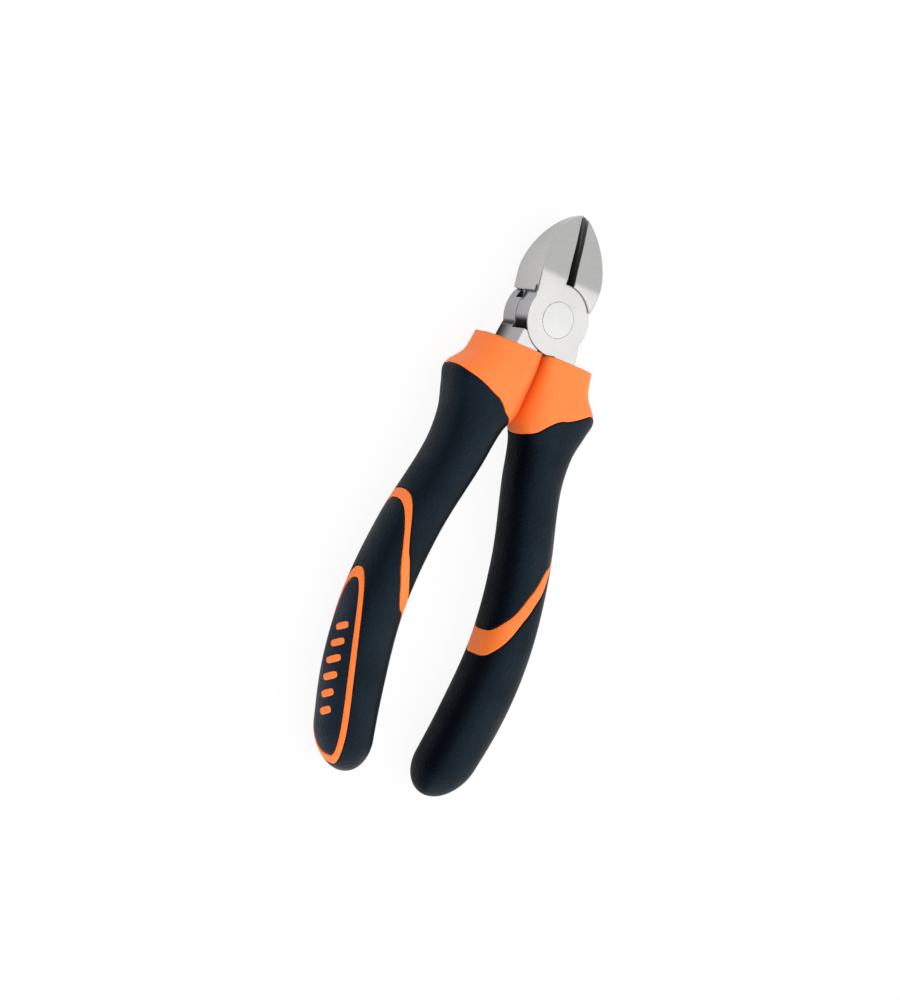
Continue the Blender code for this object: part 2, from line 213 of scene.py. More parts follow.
def curve(stations, x):
    """Smooth curve through a few (position, value) stations."""
    xs = np.array([p[0] for p in stations])
    ys = np.array([p[1] for p in stations])
    before = np.maximum(np.arange(len(xs)) - 1, 0)
    after = np.minimum(np.arange(len(xs)) + 1, len(xs) - 1)
    slopes = (ys[after] - ys[before]) / (xs[after] - xs[before])
    x = np.clip(x, xs[0], xs[-1])
    i = np.clip(np.searchsorted(xs, x) - 1, 0, len(xs) - 2)
    width = xs[i + 1] - xs[i]
    t = (x - xs[i]) / width
    start = (2 * t**3 - 3 * t**2 + 1) * ys[i] + (t**3 - 2 * t**2 + t) * width * slopes[i]
    finish = (3 * t**2 - 2 * t**3) * ys[i + 1] + (t**3 - t**2) * width * slopes[i + 1]
    return start + finish


# Mesh helpers
def new_mesh(name, points, faces):
    mesh = bpy.data.meshes.new(name)
    mesh.from_pydata((np.asarray(points) * MM).tolist(), [], faces)
    mesh.update()
    turn_outward(mesh)
    return mesh


def vertex_array(mesh, what):
    """Coordinates ("co", in metres) or normals ("normal") of all vertices."""
    values = np.empty(len(mesh.vertices) * 3)
    mesh.vertices.foreach_get(what, values)
    return values.reshape(-1, 3)


def turn_outward(mesh):
    mesh.calc_loop_triangles()
    corners = np.empty(len(mesh.loop_triangles) * 3, np.int32)
    mesh.loop_triangles.foreach_get("vertices", corners)
    a, b, c = vertex_array(mesh, "co")[corners.reshape(-1, 3)].transpose(1, 0, 2)
    if np.einsum("ij,ij->", a, np.cross(b, c)) < 0:
        mesh.flip_normals()


def set_marks(mesh, **marks):
    """The mesh with each named array as an attribute for its material."""
    for name, values in marks.items():
        attribute = mesh.attributes.new(name, "FLOAT", "POINT")
        attribute.data.foreach_set("value", values.astype(np.float32))
    return mesh


def ring_mesh(name, rings, ends):
    """Closed mesh through rings of points. ends is 'poles' or 'loop'."""
    rings = np.asarray(rings)
    rows, count = rings.shape[:2]
    points = rings.reshape(-1, 3)
    first = np.arange(rows if ends == "loop" else rows - 1)[:, None]
    j = np.arange(count)[None, :]
    a = first * count
    b = (first + 1) % rows * count
    k = (j + 1) % count
    faces = np.stack([a + j, a + k, b + k, b + j], axis=-1).reshape(-1, 4).tolist()
    if ends == "poles":
        pole = len(points)
        last = (rows - 1) * count
        points = np.vstack([points, rings[0].mean(0), rings[-1].mean(0)])
        faces += [(pole, (i + 1) % count, i) for i in range(count)]
        faces += [(pole + 1, last + i, last + (i + 1) % count) for i in range(count)]
    return new_mesh(name, points, faces)


def combine(base, tool, operation):
    """Boolean of two meshes, both used up."""
    holders = []
    for mesh in (base, tool):
        holder = bpy.data.objects.new(mesh.name, mesh)
        bpy.context.scene.collection.objects.link(holder)
        holders.append(holder)
    modifier = holders[0].modifiers.new(operation, "BOOLEAN")
    modifier.operation = operation
    modifier.solver = "EXACT"
    modifier.object = holders[1]
    bpy.context.view_layer.update()
    graph = bpy.context.evaluated_depsgraph_get()
    result = bpy.data.meshes.new_from_object(holders[0].evaluated_get(graph))
    for holder in holders:
        bpy.data.objects.remove(holder, do_unlink=True)
    return result


# Distance fields of the steel: negative inside, about true to scale near the surface
def round_max(a, b, radius):
    """Intersection with a rounded outer edge."""
    corner = np.hypot(np.maximum(a + radius, 0), np.maximum(b + radius, 0))
    return np.minimum(np.maximum(a, b), -radius) + corner


def round_min(a, b, radius):
    """Union with a filleted inner corner."""
    corner = np.hypot(np.maximum(radius - a, 0), np.maximum(radius - b, 0))
    return np.maximum(np.minimum(a, b), radius) - corner


def convex(corners, x, y):
    """Field of a convex outline whose corners run anticlockwise."""
    field = None
    for i, (x0, y0) in enumerate(corners):
        x1, y1 = corners[(i + 1) % len(corners)]
        length = math.hypot(x1 - x0, y1 - y0)
        side = ((x - x0) * (y1 - y0) - (y - y0) * (x1 - x0)) / length
        field = side if field is None else round_max(field, side, OUTLINE_FILLET)
    return field


def jaw_half_width(y):
    drop = np.minimum(np.maximum(WIDEST_Y - y, 0) / (WIDEST_Y - LEDGE_Y), 1.2)
    along = np.clip((y - WIDEST_Y) / (JAW_REACH - WIDEST_Y), 0, 1)
    taper = (1 - along**TIP_CURVE) ** TIP_BLUNTNESS
    return np.maximum(HEAD_WIDTH / 2 * (1 - SHOULDER_DRAW * drop**2) * taper, TIP_WIDTH / 2)


def jaw_half_thickness(y):
    """Full at the joint, then a long facet down to the tip, with a soft bend between the two."""
    along = (y - FACET_Y) / (JAW_REACH - FACET_Y)
    along = np.minimum((along + np.hypot(along, FACET_BLEND)) / 2, 1.1)
    return HALF_THICKNESS + (TIP_THICKNESS / 2 - HALF_THICKNESS) * along**FACET_CURVE


def slope(function, y):
    step = 0.03
    return (function(y + step) - function(y - step)) / (2 * step)


def jaw_field(x, y, z):
    """Left jaw without its front and back faces: outer wall, cutting bevels, ledge and tip."""
    width = jaw_half_width(y)
    height = jaw_half_thickness(y)
    steepest = 3.0
    steep = np.minimum(slope(jaw_half_width, y) ** 2, steepest**2)
    wall = (-x - width) / np.sqrt(1 + steep)
    edge = CUTTING_GAP / 2
    set_off = GROOVE_SHIFT * np.sign(z) * rise(y, GROOVE_SHIFT_Y, GROOVE_SHIFT_RUN)
    reach = np.minimum(GROOVE_WIDTH / 2, 0.75 * width) - set_off
    lean = (reach - edge) / height
    bevel = (x + edge + lean * np.abs(z)) / np.sqrt(1 + lean**2)
    ledge = LEDGE_Y - LEDGE_LEAN * z - y
    jaw = round_max(wall, y - JAW_REACH, TIP_FILLET)
    jaw = round_max(jaw, bevel, EDGE_FILLET)
    return round_max(jaw, ledge, LEDGE_FILLET)


def tang_section(y):
    """Centre, half width and half height of the tang below the collar's mouth."""
    below = (MOUTH_Y - y) / GRIP_LENGTH
    settle = smooth(below / TANG_SETTLE)
    taper = smooth(below / TANG_TAPER)
    inner, outer = grip_edges(y)
    centre = TANG_X + ((inner + outer) / 2 - TANG_X) * settle
    slim = TANG_SLIM_WIDTH + (TANG_END_WIDTH - TANG_SLIM_WIDTH) * taper
    width = (TANG_WIDTH + (slim - TANG_WIDTH) * settle) / 2
    height = HALF_THICKNESS + (TANG_HEIGHT_RATIO * slim - HALF_THICKNESS) * settle
    return centre, width, height


def tang_field(x, y, z):
    """Right tang, drawn in a little at its top so that it ends inside the shoulder."""
    centre, width, height = tang_section(y)
    width = width - 0.4 * np.clip((y - MOUTH_Y) / TANG_TOP, 0, 1)
    size = np.abs((x - centre) / width) ** TANG_SQUARENESS + np.abs(z / height) ** TANG_SQUARENESS
    loft = (size ** (1 / TANG_SQUARENESS) - 1) * np.minimum(width, height)
    loft = round_max(loft, y - (MOUTH_Y + TANG_TOP), TANG_TOP_FILLET)
    return round_max(loft, TANG_END_Y - y, TANG_END_FILLET)


def relief_field(x, y, z):
    """Pocket in the lap disc's wall below the other half's jaw."""
    across = np.hypot(x - RELIEF_SPOT[0], y - RELIEF_SPOT[1]) - RELIEF_RADIUS
    return round_max(across, np.abs(z - RELIEF_Z) - RELIEF_HALF_HEIGHT, RELIEF_FILLET)


def neck_outline(right_x, right_y, left_y):
    """Corners of the neck between disc and tang. The upper two are given in shares of the boss radius."""
    inner = TANG_X - TANG_WIDTH / 2
    outer = TANG_X + TANG_WIDTH / 2
    low = MOUTH_Y - 0.5
    right = (right_x * BOSS_RADIUS, right_y * BOSS_RADIUS)
    return [(inner, low), (outer, low), right, (inner, left_y * BOSS_RADIUS)]


# The neck in the layer of its own disc and in the layer of the other half's disc
OWN_NECK = neck_outline(0.925, -0.46, -0.41)
OTHER_NECK = neck_outline(0.948, -0.577, -0.63)


def rivet_hole(radius, z):
    """Bore for the shank, with the countersink for the front head."""
    shank = radius - RIVET_SHANK_RADIUS - RIVET_GAP
    cone = (shank - (z - RIVET_NECK_Z)) / math.sqrt(2)
    return np.minimum(shank, np.maximum(radius - RIVET_HEAD_RADIUS - RIVET_GAP, cone))


def half_field(x, y, z):
    """Front half: left jaw, lap disc in the front layer, right tang."""
    radius = np.hypot(x, y)
    jaw = jaw_field(x, y, z)
    corner = LAP_CORNER + (JAW_CORNER - LAP_CORNER) * fall(x, -4.0, 2.0)
    upper = round_min(jaw, radius - BOSS_RADIUS, corner)
    upper = round_min(upper, convex(OWN_NECK, x, y), CORNER_FILLET)
    upper = round_max(upper, -relief_field(x, y, z), LAP_FILLET)
    upper = round_max(upper, LAP_GAP / 2 - z, LAP_FILLET)
    lower = np.minimum(jaw, convex(OTHER_NECK, x, y))
    rim = fall(x, -6.5, 1.5) * fall(y, LEDGE_Y + 2.5, 1.5) * rise(z, -3.6, 1.6)
    shoulder = SHOULDER_GAP + SHOULDER_RIM * rim
    lower = round_max(lower, BOSS_RADIUS + shoulder - radius, EDGE_FILLET)
    lower = np.maximum(lower, z - HALF_THICKNESS)
    clear = np.maximum(radius - BOSS_RADIUS - SHOULDER_GAP, z - LAP_GAP / 2)
    tang = np.maximum(tang_field(x, y, z), -clear)
    body = np.minimum(upper, np.where(radius > BOSS_RADIUS, lower, upper))
    height = jaw_half_thickness(y)
    face = (np.abs(z) - height) / np.sqrt(1 + slope(jaw_half_thickness, y) ** 2)
    softer = FACET_Y + 2.0
    edge = EDGE_FILLET + (FACE_FILLET - EDGE_FILLET) * fall(y, softer, softer - LEDGE_Y)
    edge = np.where(y < LEDGE_Y, BOSS_FILLET, edge)
    body = np.minimum(round_max(body, face, edge), tang)
    return round_max(body, -rivet_hole(radius, z), SINK_FILLET)


def field_slope(field, points):
    step = 0.008
    gradient = []
    for axis in np.eye(3) * step:
        change = field(*(points + axis).T) - field(*(points - axis).T)
        gradient.append(change / (2 * step))
    return np.stack(gradient, axis=-1)


def net_mesh(name, field, axes):
    """Closed mesh on the zero level of a field: one point per crossed cell, then drawn onto the level."""
    sizes = [len(a) for a in axes]
    values = np.empty(sizes, np.float32)
    for k, height in enumerate(axes[2]):
        values[:, :, k] = field(axes[0][:, None], axes[1][None, :], np.float64(height))
    inside = values < 0
    corners = [(i, j, k) for i in (0, 1) for j in (0, 1) for k in (0, 1)]

    def part(array, shift):
        return array[tuple(slice(s, n - 1 + s) for s, n in zip(shift, sizes))]

    held = sum(part(inside, c).astype(np.int8) for c in corners)
    cells = np.argwhere((held > 0) & (held < 8))
    index = np.full([n - 1 for n in sizes], -1, np.int64)
    index[tuple(cells.T)] = np.arange(len(cells))
    total = np.zeros((len(cells), 3))
    count = np.zeros(len(cells))
    for a in corners:
        for axis in range(3):
            if a[axis]:
                continue
            b = tuple(v + (n == axis) for n, v in enumerate(a))
            va = values[tuple((cells + a).T)]
            vb = values[tuple((cells + b).T)]
            crossed = (va < 0) != (vb < 0)
            share = np.where(crossed, va / np.where(crossed, va - vb, 1), 0)
            for n in range(3):
                low = axes[n][cells[:, n] + a[n]]
                high = axes[n][cells[:, n] + b[n]]
                total[:, n] += np.where(crossed, low + (high - low) * share, 0)
            count += crossed
    points = total / count[:, None]
    for _ in range(PULL_ROUNDS):
        gradient = field_slope(field, points)
        pull = field(*points.T) / np.maximum((gradient**2).sum(1), 0.2)
        points -= np.clip(pull[:, None] * gradient, -LONGEST_PULL, LONGEST_PULL)
    faces = []
    for axis in range(3):
        ahead = [slice(None)] * 3
        back = [slice(None)] * 3
        ahead[axis] = slice(1, None)
        back[axis] = slice(0, -1)
        start = inside[tuple(back)]
        crossing = np.argwhere(start != inside[tuple(ahead)])
        rising = start[tuple(crossing.T)]
        u, v = (axis + 1) % 3, (axis + 2) % 3
        around = []
        for du, dv in ((-1, -1), (0, -1), (0, 0), (-1, 0)):
            cell = crossing.copy()
            cell[:, u] += du
            cell[:, v] += dv
            around.append(index[tuple(cell.T)])
        quad = np.stack(around, axis=-1)
        quad[~rising] = quad[~rising][:, ::-1]
        faces.append(quad)
    return new_mesh(name, points, np.vstack(faces).tolist())


def steel_half():
    """Fine cells round the head, wider ones along the tang. The offset keeps them off the flat faces."""
    top = HALF_THICKNESS + 0.45
    head_x = np.arange(-HEAD_WIDTH / 2 - 1, HEAD_SIDE, HEAD_STEP)
    bowed_x = np.arange(head_x[-1] + BOW_STEP, HANDLE_BOW + 5, BOW_STEP)
    tang_y = np.arange(TANG_END_Y - 1, MOUTH_Y - 2.5, TANG_STEP)
    head_y = np.arange(tang_y[-1] + HEAD_STEP, JAW_REACH + 0.6, HEAD_STEP)
    z = np.arange(-top, top, HEAD_STEP) + CELL_OFFSET
    axes = (np.concatenate([head_x, bowed_x]), np.concatenate([tang_y, head_y]), z)
    return net_mesh("steel_half", half_field, axes)


def rivet():
    """Shank between two flush heads, each with a softened rim and a slight crown."""
    top = HALF_THICKNESS + RIVET_PROUD
    profile = [
        (RIVET_SHANK_RADIUS, 0.0),
        (RIVET_SHANK_RADIUS, RIVET_NECK_Z),
        (RIVET_HEAD_RADIUS, RIVET_RIM_Z),
    ]
    for turn in np.linspace(0, math.pi / 2, 6):
        radius = RIVET_HEAD_RADIUS - RIVET_FILLET * (1 - math.cos(turn))
        profile.append((radius, top - RIVET_CROWN - RIVET_FILLET * (1 - math.sin(turn))))
    for share in np.linspace(0.93, 0.06, 16):
        profile.append((RIVET_HEAD_RADIUS * share, top - RIVET_CROWN * share**2))
    profile = [(r, -z) for r, z in reversed(profile[1:])] + profile
    turn = np.linspace(0, 2 * math.pi, RIVET_POINTS, endpoint=False)
    rings = [np.stack([r * np.cos(turn), r * np.sin(turn), 0 * turn + z], -1) for r, z in profile]
    return ring_mesh("rivet", rings, "poles")


# The grip's outer surface
def grip_edges(y):
    """Inner and outer edge of the grip in plan at a height."""
    along = np.clip((MOUTH_Y - y) / GRIP_LENGTH, 0.0, 1.0)
    split = COLLAR_SPLIT / 2
    half = GRIP_WIDTH / 2
    inner = [
        (0.0, split),
        (0.09, split),
        (0.145, 3.2 * split),
        (0.19, 0.155 * HANDLE_BOW),
        (0.275, 0.64 * HANDLE_BOW - 0.96 * half),
        (0.45, 0.88 * HANDLE_BOW - 0.93 * half),
        (0.63, HANDLE_BOW - 0.97 * half),
        (0.8, 0.925 * HANDLE_BOW - 1.02 * half),
        (1.0, 0.68 * HANDLE_BOW - 0.9 * half),
    ]
    outer = [
        (0.0, split + COLLAR_WIDTH),
        (0.045, split + 0.37 * COLLAR_WIDTH + 0.53 * GUARD_WIDTH),
        (0.09, split + GUARD_WIDTH),
        (0.13, split + 0.965 * GUARD_WIDTH),
        (0.19, 0.575 * HANDLE_BOW + 1.02 * half),
        (0.275, 0.635 * HANDLE_BOW + 0.935 * half),
        (0.45, 0.88 * HANDLE_BOW + 0.97 * half),
        (0.63, HANDLE_BOW + 0.985 * half),
        (0.8, 0.925 * HANDLE_BOW + half),
        (1.0, 0.68 * HANDLE_BOW + 0.855 * half),
    ]
    return curve(inner, along), curve(outer, along)


def grip_half_thickness(y):
    half = GRIP_THICKNESS / 2
    stations = [
        (0.0, COLLAR_THICKNESS / 2),
        (0.09, half),
        (0.2, half),
        (0.4, 0.975 * half),
        (0.7, half),
        (1.0, half),
    ]
    return curve(stations, np.clip((MOUTH_Y - y) / GRIP_LENGTH, 0.0, 1.0))


def roundness(y, angle):
    """Squareness of the section: square where the two collars meet, rounder down the handle."""
    along = (MOUTH_Y - y) / GRIP_LENGTH
    inner = smooth(0.3 - 1.4 * np.cos(angle))
    corner = SPLIT_SQUARENESS + SPLIT_FRONT_SQUARENESS * np.maximum(np.sin(angle), 0)
    plain = COLLAR_SQUARENESS - SQUARENESS_LOSS * smooth(along / 0.25)
    return plain + corner * inner * (1 - smooth(along / 0.14))


def grip_point(along, angle, depth):
    """Points at a distance along the grip and an angle round it, depth below the skin.

    Angle 0 is the outer side of the handle, a quarter turn the front, a half turn the inner side.
    """
    along, angle, depth = np.broadcast_arrays(along, angle, depth)
    turn = np.clip((along - BODY_LENGTH) / CAP_RADIUS, 0.0, math.pi / 2)
    cap = CAP_Y - (CAP_RADIUS - depth) * np.sin(turn)
    y = np.where(along < BODY_LENGTH, MOUTH_Y - along, cap)
    inner, outer = grip_edges(y)
    width = ((outer - inner) / 2 - depth) * np.cos(turn)
    height = (grip_half_thickness(y) - depth) * np.cos(turn)
    exponent = 2 / roundness(y, angle)
    x = (inner + outer) / 2 + width * power(np.cos(angle), exponent)
    return np.stack([x, y, height * power(np.sin(angle), exponent)], axis=-1)


def grip_ring(along, depth):
    return grip_point(along, ANGLES, depth)


# Seams between the two colours, as distances along the grip at each angle
COLLAR_HIGH = 0.088 * GRIP_LENGTH
COLLAR_LOW = 0.178 * GRIP_LENGTH
BAND_HIGH = 0.38 * GRIP_LENGTH
BAND_LOW = 0.61 * GRIP_LENGTH

# Bends in the seams: share of the grip's length, centre angle and width in degrees
COLLAR_BENDS = ((0.007, 120, 24), (-0.01, 62, 30), (0.0091, 252, 15), (0.0062, 315, 28))
BAND_TOP_BENDS = ((0.018, 50, 12), (-0.0079, 131, 18), (0.0115, 277, 30))
BAND_LOW_BENDS = ((0.0145, 62, 12), (-0.006, 128, 18), (-0.021, 224, 16))


def wave(high, low, angle, sag, swell):
    """From high on the outer side to low on the inner side, the same front and back."""
    shape = (np.cos(angle) - swell * np.cos(3 * angle)) / (1 - swell)
    return (high + low) / 2 - (low - high) / 2 * shape + sag * np.sin(angle) ** 2


def bends(angle, table):
    """Sum of local shifts, each largest at its centre angle and falling away on both sides."""
    total = 0.0
    for share, centre, width in table:
        away = (np.degrees(angle) - centre + 180) % 360 - 180
        total = total + share * np.exp(-((away / width) ** 2))
    return GRIP_LENGTH * total


def collar_seam(angle):
    """Lower edge of the collar: a step on the front, a straighter slope on the back."""
    line = wave(COLLAR_HIGH, COLLAR_LOW, angle, -0.011 * GRIP_LENGTH, 0.06)
    return line + bends(angle, COLLAR_BENDS)


def band_top(angle):
    line = wave(BAND_HIGH, BAND_LOW, angle, 0.14 * BAND_WIDTH, 0.08)
    return line + bends(angle, BAND_TOP_BENDS)


def band_low(angle):
    high = BAND_HIGH + 0.42 * BAND_WIDTH
    line = wave(high, BAND_LOW + BAND_WIDTH, angle, 0.42 * BAND_WIDTH, 0.08)
    return line + bends(angle, BAND_LOW_BENDS)


def mouth(angle):
    """Top edge of the collar, leaning a little from front to back."""
    return -COLLAR_RISE - COLLAR_TILT * np.sin(angle) * (0.6 + 0.4 * np.cos(angle))


def shifted(seam, step):
    """The seam at every column, moved by a step square to itself."""
    turn = 0.02
    steep = (seam(ANGLES + turn) - seam(ANGLES - turn)) / (2 * turn)
    return seam(ANGLES) + step * np.hypot(1.0, steep / (0.4 * GRIP_WIDTH))


def edge_rings(seam, side, fillet, gap):
    """Rings over a rounded edge beside a seam, from the gap up to the surface. side is +1 below it."""
    rings = []
    for turn in np.linspace(0, math.pi / 2, FILLET_STEPS):
        step = gap + fillet * (1 - math.cos(turn))
        rings.append(grip_ring(shifted(seam, side * step), fillet * (1 - math.sin(turn))))
    return rings


def field_rings(start, finish, spacing, depth):
    """Rings between two places, both left out."""
    count = max(int(np.max(finish - start) / spacing), 2)
    shares = np.linspace(0, 1, count + 1)[1:-1]
    return [grip_ring(start + (finish - start) * s, depth) for s in shares]


def raised_rings(top, low, top_fillet, top_gap, spacing):
    """Rings over a strip at the surface between two seams, rounded at both edges."""
    start = shifted(top, top_gap + top_fillet)
    finish = shifted(low, -(SEAM_GAP + SEAM_FILLET))
    rings = edge_rings(top, 1, top_fillet, top_gap)
    rings += field_rings(start, finish, spacing, 0.0)
    return rings + edge_rings(low, -1, SEAM_FILLET, SEAM_GAP)[::-1]


def sunk_rings(top, finish, spacing):
    """Rings over the sleeve where a skin covers it, from a seam to a row of places."""
    start = shifted(top, -SEAM_GAP)
    rings = [grip_ring(start, CORE_DEPTH)] + field_rings(start, finish, spacing, CORE_DEPTH)
    return rings + [grip_ring(finish, CORE_DEPTH)]


def inner_rings(start, finish, count):
    """Rings over the inside of a skin, both ends included."""
    shares = np.linspace(0, 1, count)
    return [grip_ring(start + (finish - start) * s, SKIN_THICKNESS) for s in shares]


def cap_rings(depth, parts):
    """Rings round the end of the grip, stopping just short of its pole."""
    reach = FULL_LENGTH - BODY_LENGTH
    return [grip_ring(BODY_LENGTH + reach * i / (parts + 0.3), depth) for i in range(parts + 1)]


# Medallion on the outer side of the grip near its end
MEDALLION_END = FULL_LENGTH - 0.47 * CAP_RADIUS
MEDALLION_START = MEDALLION_END - MEDALLION_LENGTH
MEDALLION_MIDDLE = MEDALLION_START + 0.6 * MEDALLION_LENGTH
MEDALLION_ARM = 0.52 * GRIP_WIDTH
BASE_SCALES = (0.3, 0.6, 0.85, 1.0)

# Outline of the medallion: powers of its curve, points crowded at its ends, more inset at the ends
OUTLINE_ALONG = 0.69
OUTLINE_ACROSS = 0.63
CROWDING = 0.3
START_INSET = 1.6
END_INSET = 1.7


def medallion_ring(back, inset, depth, scale=1.0):
    """Ring along the medallion's outline, drawn in by an inset.

    back is the half angle of its far side. A scale below 1 draws the ring in towards the middle.
    """
    t = np.linspace(0, 1, MEDALLION_POINTS, endpoint=False)
    beta = 2 * math.pi * t - CROWDING * np.sin(4 * math.pi * t)
    start = MEDALLION_START + START_INSET * inset
    finish = MEDALLION_END - END_INSET * inset
    half = np.where(np.sin(beta) < 0, MEDALLION_HALF_ANGLE, back) - inset / MEDALLION_ARM
    along = start + (finish - start) * ((1 - np.cos(beta)) / 2) ** OUTLINE_ALONG
    along = MEDALLION_MIDDLE + (along - MEDALLION_MIDDLE) * scale
    tilt = MEDALLION_TILT + MEDALLION_TWIST * (0.6 - (along - MEDALLION_START) / MEDALLION_LENGTH)
    return grip_point(along, tilt + half * power(np.sin(beta), OUTLINE_ACROSS) * scale, depth)


def medallion_edge(back, inset, side, fillet, top):
    """Rings over a rounded edge of the outline, from its wall up to the surface."""
    rings = []
    for turn in np.linspace(0, math.pi / 2, FILLET_STEPS):
        step = inset + side * fillet * (1 - math.cos(turn))
        rings.append(medallion_ring(back, step, top + fillet * (1 - math.sin(turn))))
    return rings


def medallion_rim(back):
    inner = MEDALLION_RIM
    rings = [medallion_ring(back, 0.0, RIM_ROOT)] + medallion_edge(back, 0.0, 1, SEAM_FILLET, 0.0)
    rings += [medallion_ring(back, MEDALLION_RIM * s, -RIM_CROWN) for s in (0.36, 0.5, 0.64)]
    rings += medallion_edge(back, inner, -1, SEAM_FILLET, 0.0)[::-1]
    rings += [medallion_ring(back, inner, RIM_ROOT)]
    return ring_mesh("rim", rings, "loop")


def medallion_window(back):
    """Cutter for the lower skin: straight wall, flared at the surface so that the cut edge is round."""
    scales = (0.08,) + BASE_SCALES
    above = -1.5
    rings = [medallion_ring(back, -SEAM_GAP, WINDOW_DEPTH, s) for s in scales]
    rings += medallion_edge(back, -SEAM_GAP, -1, SEAM_FILLET, 0.0)
    rings += [medallion_ring(back, -SEAM_GAP - SEAM_FILLET, above, s) for s in reversed(scales)]
    return ring_mesh("window", rings, "poles")


def medallion_pad(back):
    """Pad inside the rim, sunk a little at its edge and level with the grip in the middle."""
    inset = MEDALLION_RIM + SEAM_GAP
    rings = [medallion_ring(back, inset, SKIN_THICKNESS, s) for s in (0.05,) + BASE_SCALES]
    rings += medallion_edge(back, inset, 1, PAD_FILLET, PAD_SINK)
    for s in np.linspace(0.97, 0.03, 24):
        rings.append(medallion_ring(back, inset + PAD_FILLET, PAD_SINK - PAD_SINK * (1 - s**2), s))
    return ring_mesh("pad", rings, "poles")


# Plain slanted bars on the pad
BAR_COUNT = 6
BAR_PITCH = 4.4
BAR_LENGTH = 5.6
BAR_WIDTH = 1.9
BAR_SLANT = math.radians(24)
BAR_ANGLE = math.radians(-15)
BAR_START = MEDALLION_START + 16.0
BAR_SQUARENESS = 0.55

# Rings of a bar from its root up: depth, and the shares of its width and length
BAR_RINGS = (
    (0.7, 0.2, 0.2),
    (0.7, 1.0, 1.0),
    (0.1, 1.0, 1.0),
    (-0.05, 0.96, 1 - 0.04 * BAR_WIDTH / BAR_LENGTH),
    (-0.12, 0.88, 1 - 0.12 * BAR_WIDTH / BAR_LENGTH),
    (-0.17, 0.5, 0.5),
    (-0.18, 0.1, 0.1),
)


def bar_rings(middle, length):
    """Rings of one slanted bar, lying across the medallion at a place along the grip."""
    turn = np.linspace(0, 2 * math.pi, BAR_POINTS, endpoint=False)
    rings = []
    for depth, width_share, length_share in BAR_RINGS:
        u = width_share * BAR_WIDTH / 2 * power(np.sin(turn), BAR_SQUARENESS)
        v = length_share * length / 2 * power(np.cos(turn), BAR_SQUARENESS)
        along = middle + u * math.cos(BAR_SLANT) + v * math.sin(BAR_SLANT)
        side = v * math.cos(BAR_SLANT) - u * math.sin(BAR_SLANT)
        rings.append(grip_point(along, BAR_ANGLE + side / MEDALLION_ARM, depth))
    return rings


def medallion_bars():
    points = []
    faces = []
    for i in range(BAR_COUNT):
        shrink = 1 - 0.5 * abs(i - 0.4 * BAR_COUNT) / BAR_COUNT
        mesh = ring_mesh("bar", bar_rings(BAR_START + BAR_PITCH * i, BAR_LENGTH * shrink), "poles")
        first = len(points)
        points += list(vertex_array(mesh, "co") / MM)
        faces += [[first + v for v in p.vertices] for p in mesh.polygons]
    return new_mesh("bars", points, faces)


# Pieces of one grip
def socket_rings():
    """Inside of the sleeve, round the tang."""
    squareness = 0.22
    rings = []
    heights = TANG_END_Y + (MOUTH_Y - TANG_END_Y) * np.sin(np.linspace(0, math.pi / 2, 24))
    for y in np.concatenate([[TANG_END_Y - TANG_GAP], heights]):
        centre, width, height = tang_section(y)
        x = centre + (width + TANG_GAP) * power(np.cos(ANGLES), squareness)
        z = (height + TANG_GAP) * power(np.sin(ANGLES), squareness)
        rings.append(np.stack([x, 0 * x + y, z], axis=-1))
    return rings


def grip_core(back):
    """Hard inner sleeve with collar, band and medallion rim standing up to the surface."""
    mouth_rim = 0.55
    rings = socket_rings() + [grip_ring(mouth(ANGLES), mouth_rim)]
    rings += raised_rings(mouth, collar_seam, MOUTH_FILLET, 0.0, 0.5)
    rings += sunk_rings(collar_seam, shifted(band_top, SEAM_GAP), 4.0)
    rings += raised_rings(band_top, band_low, SEAM_FILLET, SEAM_GAP, 0.5)
    rings += sunk_rings(band_low, np.full(COLUMNS, BODY_LENGTH), 4.0)
    rings += cap_rings(CORE_DEPTH, 8)[1:]
    return combine(ring_mesh("core", rings, "poles"), medallion_rim(back), "UNION")


def upper_skin():
    rings = raised_rings(collar_seam, band_top, SEAM_FILLET, SEAM_GAP, 0.6)
    rings += inner_rings(shifted(band_top, -SEAM_GAP), shifted(collar_seam, SEAM_GAP), 16)
    return ring_mesh("upper_skin", rings, "loop")


def lower_skin(back):
    start = shifted(band_low, SEAM_GAP + SEAM_FILLET)
    finish = np.full(COLUMNS, BODY_LENGTH)
    rings = cap_rings(SKIN_THICKNESS, 10)[::-1]
    rings += inner_rings(finish, shifted(band_low, SEAM_GAP), 14)[1:]
    rings += edge_rings(band_low, 1, SEAM_FILLET, SEAM_GAP)
    rings += field_rings(start, finish, 0.6, 0.0)
    rings += cap_rings(0.0, 26)
    return combine(ring_mesh("lower_skin", rings, "poles"), medallion_window(back), "DIFFERENCE")


# Marks for the materials: painted shade in the steel's corners and recesses, dark bevels with a painted
# glint, painted light on the jaw's flank, painted shade on the collars
NECK_DARK = 0.92
CREASE_DARK = 0.85
LINE_DARK = 0.8
PIT_DARK = 0.9
BEVEL_DARK = 0.75
COLLAR_SHADE = 0.75
CREASE_SPOT = (0.93 * BOSS_RADIUS, -0.46 * BOSS_RADIUS)
NOTCH_SPOT = (0.88 * BOSS_RADIUS, -0.48 * BOSS_RADIUS)
PIT_SPOT = (jaw_half_width(LEDGE_Y + 0.8), LEDGE_Y + 0.8)


def near(x, y, spot, full, reach):
    """1 within a distance of a spot on either side of the tool, fading to 0 further out."""
    away = np.hypot(np.abs(x) - spot[0], y - spot[1])
    return 1 - rise(away, full, reach - full)


